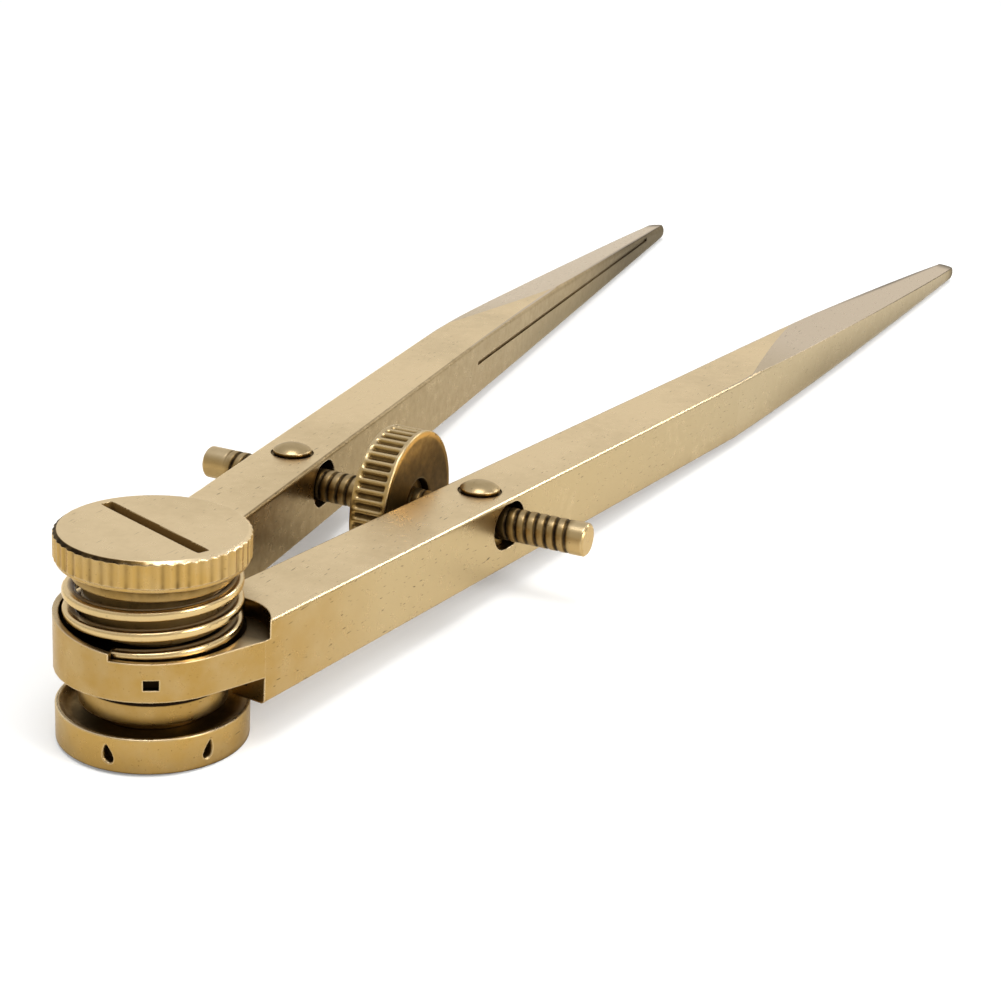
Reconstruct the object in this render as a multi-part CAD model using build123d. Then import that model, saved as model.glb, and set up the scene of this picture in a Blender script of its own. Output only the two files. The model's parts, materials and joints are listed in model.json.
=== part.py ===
from build123d import *
import math
import os

# Chart divider in brass, millimetres, +Z up.
# The origin is where the pivot axis meets the underside of the base nut.
# +X runs along the line midway between the legs, towards their points.
# The right leg lies towards -Y and the left leg towards +Y.

# Base nut, a dished disc that the pivot screw is threaded into
base_radius = 6.1
base_height = 2.35
base_lip = 0.12
base_dish_floor_radius = 5.0
base_dish_depth = 0.5
base_edge = 0.12
spanner_slots = 6
spanner_slot_turn = 6.8
spanner_slot_width = 0.6
spanner_slot_height = 1.1
spanner_slot_depth = 0.7

# Eyes of the two legs and the washers under them
lower_washer_radius = 3.7
lower_washer_thickness = 0.73
left_eye_radius = 4.68
left_eye_thickness = 2.08
friction_washer_radius = 4.3
friction_washer_thickness = 0.12
right_eye_thickness = 2.53
spring_seat_depth = 0.25
seat_wall_thickness = 0.37
seat_wall_rise = 0.53
seat_wall_slope = 6.65
seat_wall_back_turn = 60.0
seat_wall_end_turn = 188.0

# Coil spring of flattened wire, ground at both ends
spring_outer_radius = 5.6
spring_wire_width = 0.9
spring_wire_height = 0.68
spring_wire_corner = 0.2
spring_turns = 2.75
spring_length = 3.67
spring_lower_grind = 0.09
spring_upper_grind = 0.56
spring_start_turn = 185.0

# Pivot screw with its fluted, slotted head
head_radius = 6.1
head_height = 2.05
head_top_chamfer = 0.3
head_top_rise = 0.22
head_lower_band = 0.28
head_band_chamfer = 0.2
head_flutes = 50
head_flute_depth = 0.1
head_flute_width = 0.58
collar_radius = 5.05
collar_height = 0.98
head_slot_width = 0.88
head_slot_length = 10.5
head_slot_depth = 0.8
head_slot_turn = 67.9
spring_guide_radius = 4.4
spring_guide_clear = 0.7
journal_radius = 3.0
pivot_thread_radius = 2.2
pivot_end_recess = 0.55
pivot_end_chamfer = 0.2

# Legs: a square bar and a long point, each in its own frame along +X before it is turned
leg_length = 158.9
leg_width = 5.59
leg_height = 5.57
leg_inner_offset = 1.46
leg_over_base = 0.69
leg_corner = 0.28
half_angle = 6.97
taper_start = 75.7
taper_top_power = 2.4
taper_bottom_power = 1.1
taper_side_power = 1.25
point_width = 2.3
point_height = 2.3
point_inner_offset = 0.1
point_top_drop = 1.8
point_corner = 1.05
point_nose = 0.75
facet_start = 78.0
facet_skew = 75.0
facet_slope = 8.0
groove_start = 73.4
groove_length = 74.0
groove_width = 0.42
groove_depth = 0.22
groove_above_middle = 0.6

# Steps where the bars end over and under the eyes
left_step_reach = 9.2
upper_step_wall = 4.55
upper_step_corner = 3.62
upper_step_bend = 3.17
lower_step_wall = 2.26
pin_recess_turn = 212.3
pin_recess_width = 0.95
pin_recess_height = 0.66
pin_recess_depth = 0.5
pin_recess_drop = 0.13

# Swivel posts that carry the screw in the legs
swivel_distance = 32.35
swivel_radius = 2.0
swivel_neck_radius = 1.1
swivel_head_radius = 1.52
swivel_head_height = 0.98
swivel_seat_depth = 0.12
swivel_seat_margin = 0.18
swivel_roof = 0.58
plug_thickness = 0.6
plug_slot_width = 0.4
leg_window_width = 4.5
leg_window_height = 3.6

# Adjusting screw and its wheel
screw_above_leg_bottom = 3.41
screw_radius = 1.28
screw_right_end = 17.2
screw_left_end = 15.75
screw_end_chamfer = 0.3
wheel_radius = 5.8
wheel_width = 2.93
wheel_offset = 1.53
wheel_rim = 0.36
wheel_edge = 0.12
wheel_grooves = 46
wheel_groove_width = 0.43
wheel_groove_depth = 0.24
wheel_recess_radius = 2.1
wheel_recess_depth = 0.9
wheel_washer_radius = 1.95
wheel_washer_thickness = 0.35
wheel_pin_radius = 0.4
wheel_pin_below_rim = 0.5

# Clearances
running_gap = 0.04
thread_gap = 0.03
axial_gap = 0.02
eye_gap = 0.35
spring_gap = 0.2
swivel_gap = 0.05
drive_fit = 0.005
cutter_excess = 1.0

# The right eye reaches round the spring and the wall of its seat
spring_seat_radius = spring_outer_radius + spring_gap
right_eye_radius = spring_seat_radius + seat_wall_thickness

# Heights worked out from the stack
dish_floor = base_height - base_dish_depth
left_eye_bottom = dish_floor + lower_washer_thickness + 2 * axial_gap
left_eye_top = left_eye_bottom + left_eye_thickness
right_eye_bottom = left_eye_top + friction_washer_thickness + 2 * axial_gap
right_eye_top = right_eye_bottom + right_eye_thickness
spring_floor = right_eye_top - spring_seat_depth
collar_bottom = spring_floor + spring_length + 2 * axial_gap
head_bottom = collar_bottom + collar_height
head_top = head_bottom + head_height
journal_end = dish_floor + pivot_end_recess

# Places worked out from the legs' bars
leg_bottom = base_height + leg_over_base
leg_top = leg_bottom + leg_height
leg_middle = leg_inner_offset + leg_width / 2
leg_outer_offset = leg_inner_offset + leg_width
above_leg = leg_top + cutter_excess
below_leg = min(leg_bottom, left_eye_bottom) - cutter_excess
screw_height = leg_bottom + screw_above_leg_bottom
bore_top = leg_top - swivel_roof

# Where a swivel post stands, seen from the pivot
swivel_reach = math.hypot(swivel_distance, leg_middle)
swivel_bearing = half_angle + math.degrees(math.atan2(leg_middle, swivel_distance))
swivel_x = swivel_reach * math.cos(math.radians(swivel_bearing))
swivel_y = swivel_reach * math.sin(math.radians(swivel_bearing))

# The wheel's place along the screw, counted from the middle towards the right leg
wheel_left_face = wheel_offset - wheel_width / 2
wheel_right_face = wheel_offset + wheel_width / 2
recess_floor = wheel_right_face - wheel_recess_depth


def rod(radius, bottom, top):
    """A round bar on the Z axis between two heights."""
    return Pos(0, 0, (bottom + top) / 2) * Cylinder(radius, top - bottom)


def ring(radius, bore, bottom, top):
    """A washer on the Z axis between two heights."""
    return rod(radius, bottom, top) - rod(bore, bottom - cutter_excess, top + cutter_excess)


def slab(outline, bottom, top):
    """A flat outline carried from one height to another."""
    return extrude(Pos(0, 0, bottom) * outline, top - bottom, dir=(0, 0, 1))


def turned_disc(radius, bottom, top, edge):
    """A disc with both its sharp edges taken off."""
    disc = rod(radius, bottom, top)
    return chamfer(disc.edges().filter_by(GeomType.CIRCLE), edge)


def dish_outline():
    """Half of the dish's section: a flat floor that curves up to a thin lip."""
    lip = base_radius - base_edge - base_lip
    above = base_height + cutter_excess
    floor = Line((0, dish_floor), (base_dish_floor_radius, dish_floor))
    wall = Bezier((base_dish_floor_radius, dish_floor), (lip, dish_floor), (lip, base_height))
    rest = Polyline((lip, base_height), (lip, above), (0, above), (0, dish_floor))
    return make_face(Plane.XZ * (floor + wall + rest))


def make_base_nut():
    """A dished round nut with spanner slots in its rim."""
    nut = turned_disc(base_radius, 0, base_height, base_edge)
    nut -= revolve(dish_outline(), Axis.Z)
    nut -= rod(pivot_thread_radius + thread_gap, -cutter_excess, base_height)
    slot = Rot(0, 90, 0) * SlotOverall(spanner_slot_height, spanner_slot_width)
    depth = spanner_slot_depth + cutter_excess
    cutter = Pos(base_radius - spanner_slot_depth, 0, base_height / 2) * extrude(slot, depth)
    turns = [spanner_slot_turn + i * 360 / spanner_slots for i in range(spanner_slots)]
    return nut - [Rot(0, 0, turn) * cutter for turn in turns]


def make_lower_washer():
    """The thrust washer between the base nut and the left leg's eye."""
    bottom = dish_floor + axial_gap
    bore = journal_radius + running_gap
    return ring(lower_washer_radius, bore, bottom, bottom + lower_washer_thickness)


def make_friction_washer():
    """The thin washer between the two eyes."""
    bottom = left_eye_top + axial_gap
    bore = journal_radius + running_gap
    return ring(friction_washer_radius, bore, bottom, bottom + friction_washer_thickness)


def fluted_outline():
    """The head's round outline with its shallow flutes, side by side."""
    wide = (head_flute_depth, head_flute_width)
    flute = Polygon((-head_flute_depth, 0), wide, (head_flute_depth, -head_flute_width), align=None)
    return Circle(head_radius) - PolarLocations(head_radius, head_flutes) * flute


def make_pivot_screw():
    """Head, collar, spring guide, journal and threaded end, all turned in one piece."""
    band_top = head_bottom + head_lower_band
    crown_bottom = head_top - head_top_rise
    band = rod(head_radius - head_flute_depth, head_bottom, band_top)
    band = chamfer(band.edges().group_by(Axis.Z)[0], head_band_chamfer)
    crown = Cone(head_radius, head_radius - head_top_chamfer, head_top_rise)
    envelope = rod(head_radius, band_top, crown_bottom) + Pos(0, 0, crown_bottom + head_top_rise / 2) * crown
    head = slab(fluted_outline(), band_top, head_top) & envelope
    head += band
    slot = Rot(0, 0, head_slot_turn) * SlotOverall(head_slot_length, head_slot_width)
    head -= slab(slot, head_top - head_slot_depth, head_top + cutter_excess)
    screw = head + rod(collar_radius, collar_bottom, head_bottom)
    screw += rod(spring_guide_radius, spring_floor + spring_guide_clear, collar_bottom)
    screw += rod(journal_radius, journal_end, collar_bottom)
    end = rod(pivot_thread_radius, pivot_end_recess, journal_end)
    return screw + chamfer(end.edges().group_by(Axis.Z)[0], pivot_end_chamfer)


def make_tension_spring():
    """A coil of flattened wire with its two ends ground flat."""
    rise = spring_length - spring_wire_height + spring_lower_grind + spring_upper_grind
    first_middle = spring_wire_height / 2 - spring_lower_grind
    path = Helix(rise / spring_turns, rise, spring_outer_radius - spring_wire_width / 2)
    start = Plane(origin=path @ 0, x_dir=(1, 0, 0), z_dir=path % 0)
    wire = chamfer(Rectangle(spring_wire_width, spring_wire_height).vertices(), spring_wire_corner)
    coil = Pos(0, 0, first_middle) * sweep(start * wire, path=path, is_frenet=True)
    coil -= rod(2 * spring_outer_radius, -spring_wire_height, 0)
    coil -= rod(2 * spring_outer_radius, spring_length, spring_length + spring_wire_height)
    return Pos(0, 0, spring_floor + axial_gap) * Rot(0, 0, spring_start_turn) * coil


def leg_section(share):
    """The leg's section at a share of the way along its taper."""
    inner = leg_inner_offset + (point_inner_offset - leg_inner_offset) * share
    point_outer_offset = point_inner_offset + point_width
    outer = leg_outer_offset + (point_outer_offset - leg_outer_offset) * share**taper_side_power
    width = outer - inner
    top = leg_top - point_top_drop * share**taper_top_power
    bottom = leg_bottom + (leg_height - point_height - point_top_drop) * share**taper_bottom_power
    height = top - bottom
    corner = leg_corner + (point_corner - leg_corner) * share
    along = taper_start + (leg_length - taper_start) * share
    place = Plane(origin=(along, 0, 0), x_dir=(0, 1, 0), z_dir=(1, 0, 0))
    return place * Pos(inner + width / 2, bottom + height / 2) * RectangleRounded(width, height, corner)


def facet_cutter():
    """What the long slanting facet takes off the top of the taper."""
    skew = math.radians(facet_skew)
    tilt = math.radians(facet_slope)
    edge_line = Vector(math.sin(skew), -math.cos(skew), 0)
    normal = Vector(math.cos(skew) * math.sin(tilt), math.sin(skew) * math.sin(tilt), math.cos(tilt))
    facet = Plane(origin=(facet_start, leg_outer_offset, leg_top), x_dir=edge_line, z_dir=normal)
    return facet * Pos(0, 0, leg_height / 2) * Box(2 * leg_length, 2 * leg_length, leg_height)


def groove_cutter():
    """What the scribed groove takes out of the inner face, along the taper."""
    middle = leg_bottom + leg_height / 2 + groove_above_middle
    point_middle = leg_top - point_top_drop - point_height / 2
    start = Vector(taper_start, leg_inner_offset, middle)
    line = Vector(leg_length, point_inner_offset, point_middle) - start
    along = Plane(origin=start, x_dir=line, z_dir=(0, 0, 1))
    groove = Box(groove_length, 2 * groove_depth, groove_width)
    return along * Pos(groove_start - taper_start + groove_length / 2) * groove


def leg_bar():
    """The square bar with its long point, for the left leg, pointing along +X."""
    bar = extrude(leg_section(0), -taper_start)
    taper = loft([leg_section(share) for share in (0, 0.25, 0.5, 0.75, 1)])
    taper = fillet(taper.faces().sort_by(Axis.X)[-1].edges(), point_nose)
    return bar + (taper - facet_cutter()) - groove_cutter()


def eye_outline(radius, flare_start, reach):
    """The outline of an eye and the neck that joins it to the leg's bar."""
    lean = math.atan2(leg_outer_offset, flare_start)
    hold = math.acos(radius / math.hypot(leg_outer_offset, flare_start))
    touch = lean + hold
    neck = Polygon(
        (0, 0),
        (radius * math.cos(touch), radius * math.sin(touch)),
        (flare_start, leg_outer_offset),
        (reach, leg_outer_offset),
        (reach, leg_inner_offset),
        (0, leg_inner_offset),
        align=None,
    )
    return Circle(radius) + neck


def swivel_pocket():
    """What is cut from a leg for its swivel post: bore, neck hole, seat and the screw's window."""
    cut = rod(swivel_radius + swivel_gap, below_leg, bore_top)
    cut += rod(swivel_neck_radius + swivel_gap, leg_bottom, above_leg)
    cut += rod(swivel_head_radius + swivel_seat_margin, leg_top - swivel_seat_depth, above_leg)
    window = Rot(90, 0, 0) * SlotOverall(leg_window_width, leg_window_height)
    cut += Pos(0, leg_width, screw_height) * extrude(window, 2 * leg_width)
    return Pos(swivel_distance, leg_middle, 0) * cut


def before(wall):
    """The half plane of a leg's outline that lies before a wall across it."""
    return Pos(wall - leg_length, 0) * Rectangle(2 * leg_length, 4 * leg_outer_offset)


def make_left_leg():
    """The lower eye's leg, cut away over the eye so that the upper eye and the spring can turn."""
    leg = leg_bar()
    leg -= slab(before(left_eye_radius), below_leg, above_leg)
    leg -= rod(right_eye_radius + eye_gap, left_eye_top, above_leg)
    outline = eye_outline(left_eye_radius, left_eye_radius, left_step_reach)
    eye = slab(outline, left_eye_bottom, left_eye_top)
    eye -= ring(2 * left_step_reach, left_eye_radius, below_leg, leg_bottom)
    leg += eye
    leg -= rod(journal_radius + running_gap, below_leg, above_leg)
    leg -= swivel_pocket()
    return Rot(0, 0, half_angle) * leg


def upper_step():
    """The outline clear over the right eye: a wall, a large hollow corner and the spring's room."""
    bend = leg_outer_offset - upper_step_bend
    arc_middle = upper_step_wall - upper_step_corner
    below_bend = Rectangle(2 * leg_length, 2 * leg_outer_offset, align=(Align.MAX, Align.MAX))
    step = before(arc_middle) + Pos(upper_step_wall, bend) * below_bend
    step += Pos(arc_middle, bend) * Circle(upper_step_corner)
    return step + Circle(spring_seat_radius)


def seat_wall():
    """The higher part of the spring seat's wall, its top sloping down to where the wire ends."""
    reach = 2 * right_eye_radius
    turns = (seat_wall_back_turn, (seat_wall_back_turn + seat_wall_end_turn) / 2, seat_wall_end_turn)
    corners = [(reach * math.cos(math.radians(turn)), reach * math.sin(math.radians(turn))) for turn in turns]
    outline = Circle(right_eye_radius) - Circle(spring_seat_radius)
    outline &= Polygon((0, 0), *corners, align=None)
    above = Pos(0, 0, reach / 2) * Box(2 * reach, 2 * reach, reach)
    wall = slab(outline, right_eye_bottom + right_eye_thickness / 2, above_leg)
    return wall - Pos(0, 0, right_eye_top + seat_wall_rise) * Rot(seat_wall_slope, 0, 0) * above


def make_right_leg():
    """The upper eye's leg, with a seat for the spring and steps over and under the eye."""
    leg = leg_bar()
    leg -= slab(before(lower_step_wall) + Circle(left_eye_radius + eye_gap), below_leg, right_eye_bottom)
    leg -= slab(before(lower_step_wall), right_eye_bottom, right_eye_top)
    leg -= slab(upper_step(), right_eye_top, above_leg)
    outline = eye_outline(right_eye_radius, lower_step_wall, 2 * right_eye_radius)
    leg += slab(outline, right_eye_bottom, right_eye_top)
    leg -= rod(journal_radius + running_gap, below_leg, above_leg)
    leg -= rod(spring_seat_radius, spring_floor, right_eye_top + cutter_excess)
    leg -= swivel_pocket()
    leg = Rot(0, 0, -half_angle) * mirror(leg, Plane.XZ)
    leg += seat_wall()
    recess_middle = (right_eye_bottom + right_eye_top) / 2 - pin_recess_drop
    recess = Box(2 * pin_recess_depth, pin_recess_width, pin_recess_height)
    return leg - Rot(0, 0, pin_recess_turn) * Pos(right_eye_radius, 0, recess_middle) * recess


def make_swivel_post(side):
    """A round post with a threaded cross hole and a riveted dome; side is 1 for left, -1 for right."""
    seat = leg_top - swivel_seat_depth + axial_gap
    rise = swivel_head_height + swivel_seat_depth - axial_gap
    dome_radius = (swivel_head_radius**2 + rise**2) / (2 * rise)
    dome = Pos(0, 0, seat + rise - dome_radius) * Sphere(dome_radius)
    post = rod(swivel_radius, leg_bottom + plug_thickness + axial_gap, bore_top - axial_gap)
    post += rod(swivel_neck_radius, screw_height, seat + rise / 2)
    post += dome & rod(swivel_head_radius, seat, seat + 2 * rise)
    post = Pos(swivel_x, side * swivel_y, 0) * post
    return post - across(rod(screw_radius + thread_gap, -swivel_reach, swivel_reach))


def make_pocket_plug(side):
    """The slotted plug that closes a swivel pocket from below."""
    plug = rod(swivel_radius + swivel_gap - drive_fit, leg_bottom, leg_bottom + plug_thickness)
    plug -= Pos(0, 0, leg_bottom) * Box(4 * swivel_radius, plug_slot_width, plug_thickness)
    return Pos(swivel_x, side * swivel_y, 0) * Rot(0, 0, side * half_angle) * plug


def across(shape):
    """Turns a shape from the Z axis on to the screw's axis, its +Z towards the right leg."""
    return Pos(swivel_x, 0, screw_height) * Rot(90, 0, 0) * shape


def wheel_pin_bar(radius, reach):
    """A round bar across the screw, through the middle of the wheel's web, down to a reach."""
    web_middle = (wheel_left_face + recess_floor) / 2
    top = 2 * screw_radius
    return Pos(0, (top - reach) / 2, web_middle) * Rot(90, 0, 0) * Cylinder(radius, top + reach)


def make_adjusting_screw():
    """The screw with a right-hand and a left-hand half; its thread is left smooth here."""
    screw = rod(screw_radius, -screw_left_end, screw_right_end)
    screw = chamfer(screw.edges().filter_by(GeomType.CIRCLE), screw_end_chamfer)
    return across(screw - wheel_pin_bar(wheel_pin_radius, wheel_radius))


def make_adjusting_wheel():
    """The wheel between the legs: grooves between two plain rims, and a recess in its right face."""
    wheel = turned_disc(wheel_radius, wheel_left_face, wheel_right_face, wheel_edge)
    groove = Rectangle(2 * wheel_groove_depth, wheel_groove_width)
    grooves = Sketch() + PolarLocations(wheel_radius, wheel_grooves) * groove
    wheel -= slab(grooves, wheel_left_face + wheel_rim, wheel_right_face - wheel_rim)
    wheel -= rod(screw_radius + drive_fit, wheel_left_face - cutter_excess, wheel_right_face)
    wheel -= rod(wheel_recess_radius, recess_floor, wheel_right_face + cutter_excess)
    wheel -= wheel_pin_bar(wheel_pin_radius, wheel_radius + cutter_excess)
    return across(wheel)


def make_wheel_pin():
    """The pin that fixes the wheel to the screw."""
    return across(wheel_pin_bar(wheel_pin_radius, wheel_radius - wheel_pin_below_rim))


def make_wheel_washer():
    """The loose washer in the wheel's recess."""
    floor = recess_floor + axial_gap
    bore = screw_radius + thread_gap
    return across(ring(wheel_washer_radius, bore, floor, floor + wheel_washer_thickness))


def build_all():
    """Every piece by its node name."""
    pieces = {
        "base_nut": make_base_nut(),
        "lower_washer": make_lower_washer(),
        "left_leg": make_left_leg(),
        "friction_washer": make_friction_washer(),
        "right_leg": make_right_leg(),
        "tension_spring": make_tension_spring(),
        "pivot_screw": make_pivot_screw(),
        "adjusting_screw": make_adjusting_screw(),
        "adjusting_wheel": make_adjusting_wheel(),
        "wheel_pin": make_wheel_pin(),
        "wheel_washer": make_wheel_washer(),
    }
    for name, side in (("left", 1), ("right", -1)):
        pieces[name + "_swivel_post"] = make_swivel_post(side)
        pieces[name + "_pocket_plug"] = make_pocket_plug(side)
    return pieces


os.makedirs("parts", exist_ok=True)
for node, shape in build_all().items():
    export_step(shape, "parts/" + node + ".step")
    print(node, round(shape.volume, 2), shape.is_valid)
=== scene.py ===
import bpy
import json
import math
import numpy as np
from mathutils import Matrix, Vector

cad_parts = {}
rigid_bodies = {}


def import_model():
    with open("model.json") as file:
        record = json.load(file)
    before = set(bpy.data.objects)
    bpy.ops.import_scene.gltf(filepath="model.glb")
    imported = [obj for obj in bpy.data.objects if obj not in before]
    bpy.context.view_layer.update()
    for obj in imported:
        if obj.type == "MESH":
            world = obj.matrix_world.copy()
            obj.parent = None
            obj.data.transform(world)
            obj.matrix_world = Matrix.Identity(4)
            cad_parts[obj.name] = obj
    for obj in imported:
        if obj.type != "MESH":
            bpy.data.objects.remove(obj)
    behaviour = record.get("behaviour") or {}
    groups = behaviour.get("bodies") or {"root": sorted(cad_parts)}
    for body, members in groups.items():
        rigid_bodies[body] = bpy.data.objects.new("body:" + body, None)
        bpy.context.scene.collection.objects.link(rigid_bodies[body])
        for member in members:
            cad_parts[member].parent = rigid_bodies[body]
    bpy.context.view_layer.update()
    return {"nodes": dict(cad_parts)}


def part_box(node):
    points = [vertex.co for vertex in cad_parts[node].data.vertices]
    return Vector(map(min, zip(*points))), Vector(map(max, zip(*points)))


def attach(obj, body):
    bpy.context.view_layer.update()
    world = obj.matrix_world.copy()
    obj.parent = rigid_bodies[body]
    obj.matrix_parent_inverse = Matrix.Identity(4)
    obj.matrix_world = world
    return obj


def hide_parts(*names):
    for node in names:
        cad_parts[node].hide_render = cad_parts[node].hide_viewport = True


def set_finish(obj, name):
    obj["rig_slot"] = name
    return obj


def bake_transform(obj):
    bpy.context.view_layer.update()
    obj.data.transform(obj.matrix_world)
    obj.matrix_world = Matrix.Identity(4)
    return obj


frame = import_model()
mm = 0.001  # lengths in the dictionaries of the pieces are millimetres
nodes = frame["nodes"]
print("frame loaded:", len(nodes), "nodes")

# Camera: where the photograph was taken from, in degrees, metres and millimetres of lens
camera = {
    "azimuth": 22.298,
    "elevation": 19.299,
    "roll": 3.85,
    "distance": 0.11379,
    "right": 0.02115,
    "up": 0.00921,
    "aimHeight": 0.00732,
    "lens": 65.36,
    "sensor": 36.0,
}

# Studio: a pale floor that touches the base and both points, a white surround and soft lamps
studio = {
    "floorSize": 3.0,
    "floorColour": (0.80, 0.80, 0.79),
    "floorGlow": 0.20,
    "pointUnderside": 0.0046,
    "pointReach": 0.158,
    "zenith": 0.95,
    "horizon": 1.10,
    "lamps": [
        {"name": "topLamp", "at": (-0.05, -0.02, 0.55), "to": (0.05, 0, 0.006), "size": 0.30, "power": 1.3},
        {"name": "farLamp", "at": (0.52, -0.30, 0.32), "to": (0.05, 0, 0.006), "size": 0.16, "power": 0.8},
        {"name": "sideLamp", "at": (-0.02, -0.24, 0.14), "to": (0, -0.04, 0), "size": 0.12, "power": 0.4},
    ],
}


def makeCamera(c):
    az = math.radians(c["azimuth"])
    el = math.radians(c["elevation"])
    roll = math.radians(c["roll"])
    forward = Vector((math.cos(az) * math.cos(el), math.sin(az) * math.cos(el), -math.sin(el)))
    right = forward.cross(Vector((0, 0, 1))).normalized()
    up = right.cross(forward)
    place = Vector((0, 0, c["aimHeight"])) - forward * c["distance"] + right * c["right"] + up * c["up"]
    rolledRight = math.cos(roll) * right + math.sin(roll) * up
    rolledUp = math.cos(roll) * up - math.sin(roll) * right
    data = bpy.data.cameras.new("photoCamera")
    data.lens = c["lens"]
    data.sensor_width = c["sensor"]
    data.clip_start = 0.005
    data.clip_end = 10.0
    obj = bpy.data.objects.new("photoCamera", data)
    turn = Matrix((rolledRight, rolledUp, -forward)).transposed().to_4x4()
    obj.matrix_world = Matrix.Translation(place) @ turn
    bpy.context.scene.collection.objects.link(obj)
    bpy.context.scene.camera = obj


def makeFloor(s):
    half = s["floorSize"] / 2
    slope = s["pointUnderside"] / s["pointReach"]
    data = bpy.data.meshes.new("floor")
    corners = [(x, y, slope * x) for x, y in ((-half, -half), (half, -half), (half, half), (-half, half))]
    data.from_pydata(corners, [], [(0, 1, 2, 3)])
    obj = bpy.data.objects.new("floor", data)
    bpy.context.scene.collection.objects.link(obj)
    material = bpy.data.materials.new("paleFloor")
    material.use_nodes = True
    tree = material.node_tree
    tree.nodes.clear()
    out = tree.nodes.new("ShaderNodeOutputMaterial")
    add = tree.nodes.new("ShaderNodeAddShader")
    paint = tree.nodes.new("ShaderNodeBsdfDiffuse")
    paint.inputs["Color"].default_value = (*s["floorColour"], 1)
    glow = tree.nodes.new("ShaderNodeEmission")
    rays = tree.nodes.new("ShaderNodeLightPath")
    seen = tree.nodes.new("ShaderNodeMath")
    seen.operation = "MAXIMUM"
    scale = tree.nodes.new("ShaderNodeMath")
    scale.operation = "MULTIPLY"
    scale.inputs[1].default_value = s["floorGlow"]
    tree.links.new(rays.outputs["Is Camera Ray"], seen.inputs[0])
    tree.links.new(rays.outputs["Is Glossy Ray"], seen.inputs[1])
    tree.links.new(seen.outputs[0], scale.inputs[0])
    tree.links.new(scale.outputs[0], glow.inputs["Strength"])
    tree.links.new(paint.outputs[0], add.inputs[0])
    tree.links.new(glow.outputs[0], add.inputs[1])
    tree.links.new(add.outputs[0], out.inputs["Surface"])
    data.materials.append(material)


def makeWorld(s):
    world = bpy.data.worlds.new("studio")
    bpy.context.scene.world = world
    world.use_nodes = True
    tree = world.node_tree
    tree.nodes.clear()
    out = tree.nodes.new("ShaderNodeOutputWorld")
    back = tree.nodes.new("ShaderNodeBackground")
    white = tree.nodes.new("ShaderNodeBackground")
    white.inputs["Color"].default_value = (1, 1, 1, 1)
    white.inputs["Strength"].default_value = 1.0
    mix = tree.nodes.new("ShaderNodeMixShader")
    rays = tree.nodes.new("ShaderNodeLightPath")
    coords = tree.nodes.new("ShaderNodeTexCoord")
    split = tree.nodes.new("ShaderNodeSeparateXYZ")
    level = tree.nodes.new("ShaderNodeMapRange")
    level.inputs["From Min"].default_value = 0.0
    level.inputs["From Max"].default_value = 0.8
    level.inputs["To Min"].default_value = s["horizon"]
    level.inputs["To Max"].default_value = s["zenith"]
    tree.links.new(coords.outputs["Generated"], split.inputs[0])
    tree.links.new(split.outputs["Z"], level.inputs["Value"])
    tree.links.new(level.outputs["Result"], back.inputs["Strength"])
    tree.links.new(rays.outputs["Is Camera Ray"], mix.inputs["Fac"])
    tree.links.new(back.outputs[0], mix.inputs[1])
    tree.links.new(white.outputs[0], mix.inputs[2])
    tree.links.new(mix.outputs[0], out.inputs["Surface"])


def makeLamps(s):
    for lamp in s["lamps"]:
        data = bpy.data.lights.new(lamp["name"], "AREA")
        data.shape = "DISK"
        data.size = lamp["size"]
        data.energy = lamp["power"]
        obj = bpy.data.objects.new(lamp["name"], data)
        place = Vector(lamp["at"])
        aim = Vector(lamp["to"]) - place
        obj.matrix_world = Matrix.Translation(place) @ aim.to_track_quat("-Z", "Y").to_matrix().to_4x4()
        bpy.context.scene.collection.objects.link(obj)


bpy.context.scene.view_settings.view_transform = "Standard"
makeCamera(camera)
makeFloor(studio)
makeWorld(studio)
makeLamps(studio)
print("stage, lamps and camera ready")


def boxOf(node):
    low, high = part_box(node)
    return np.array(low) / mm, np.array(high) / mm


def ease(x):
    # 0 below 0, 1 above 1 and a smooth S between: x squared times (3 - 2x)
    x = np.clip(x, 0, 1)
    return x * x * (3 - 2 * x)


def beyond(way, support):
    # The step along a way to the point that supports a bend, at most four tenths of the way
    return way * min(0.4, support / np.linalg.norm(way))


def softProfile(corners, steps=5, support=0.06):
    # An outline of (radius, height, bend) corners; each bend is a parabola between two points on the
    # corner's sides, with one more point beyond each end so that the flats beside it stay flat
    corners = np.array(corners, float)
    points, bends = corners[:, :2], corners[:, 2]
    line = []
    for i, (corner, bend) in enumerate(zip(points, bends)):
        if i == 0 or i == len(points) - 1 or bend == 0:
            line.append(corner[None])
            continue
        back = points[i - 1] - corner
        ahead = points[i + 1] - corner
        start = corner + back / np.linalg.norm(back) * bend
        end = corner + ahead / np.linalg.norm(ahead) * bend
        before = start + beyond(points[i - 1] - start, support)
        after = end + beyond(points[i + 1] - end, support)
        t = np.linspace(0, 1, steps)[:, None]
        curve = (1 - t) ** 2 * start + 2 * t * (1 - t) * corner + t**2 * end
        line += [before[None], curve, after[None]]
    return np.concatenate(line)


def spread(line, step):
    # Adds points to an outline so that none are further apart than the step
    gaps = np.linalg.norm(np.diff(line, axis=0), axis=1)
    counts = np.maximum(1, np.ceil(gaps / step).astype(int))
    pieces = [a + (b - a) * (np.arange(n) / n)[:, None] for a, b, n in zip(line[:-1], line[1:], counts)]
    return np.concatenate(pieces + [line[-1:]])


def around(count):
    return np.arange(count) * 2 * np.pi / count


def turnGrid(radius, height, angle):
    # Turned surface: (radius cos angle, radius sin angle, height), where radius and height may
    # differ at every point
    radius, height, angle = np.broadcast_arrays(radius, height, angle)
    return np.stack((radius * np.cos(angle), radius * np.sin(angle), height), -1)


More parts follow.
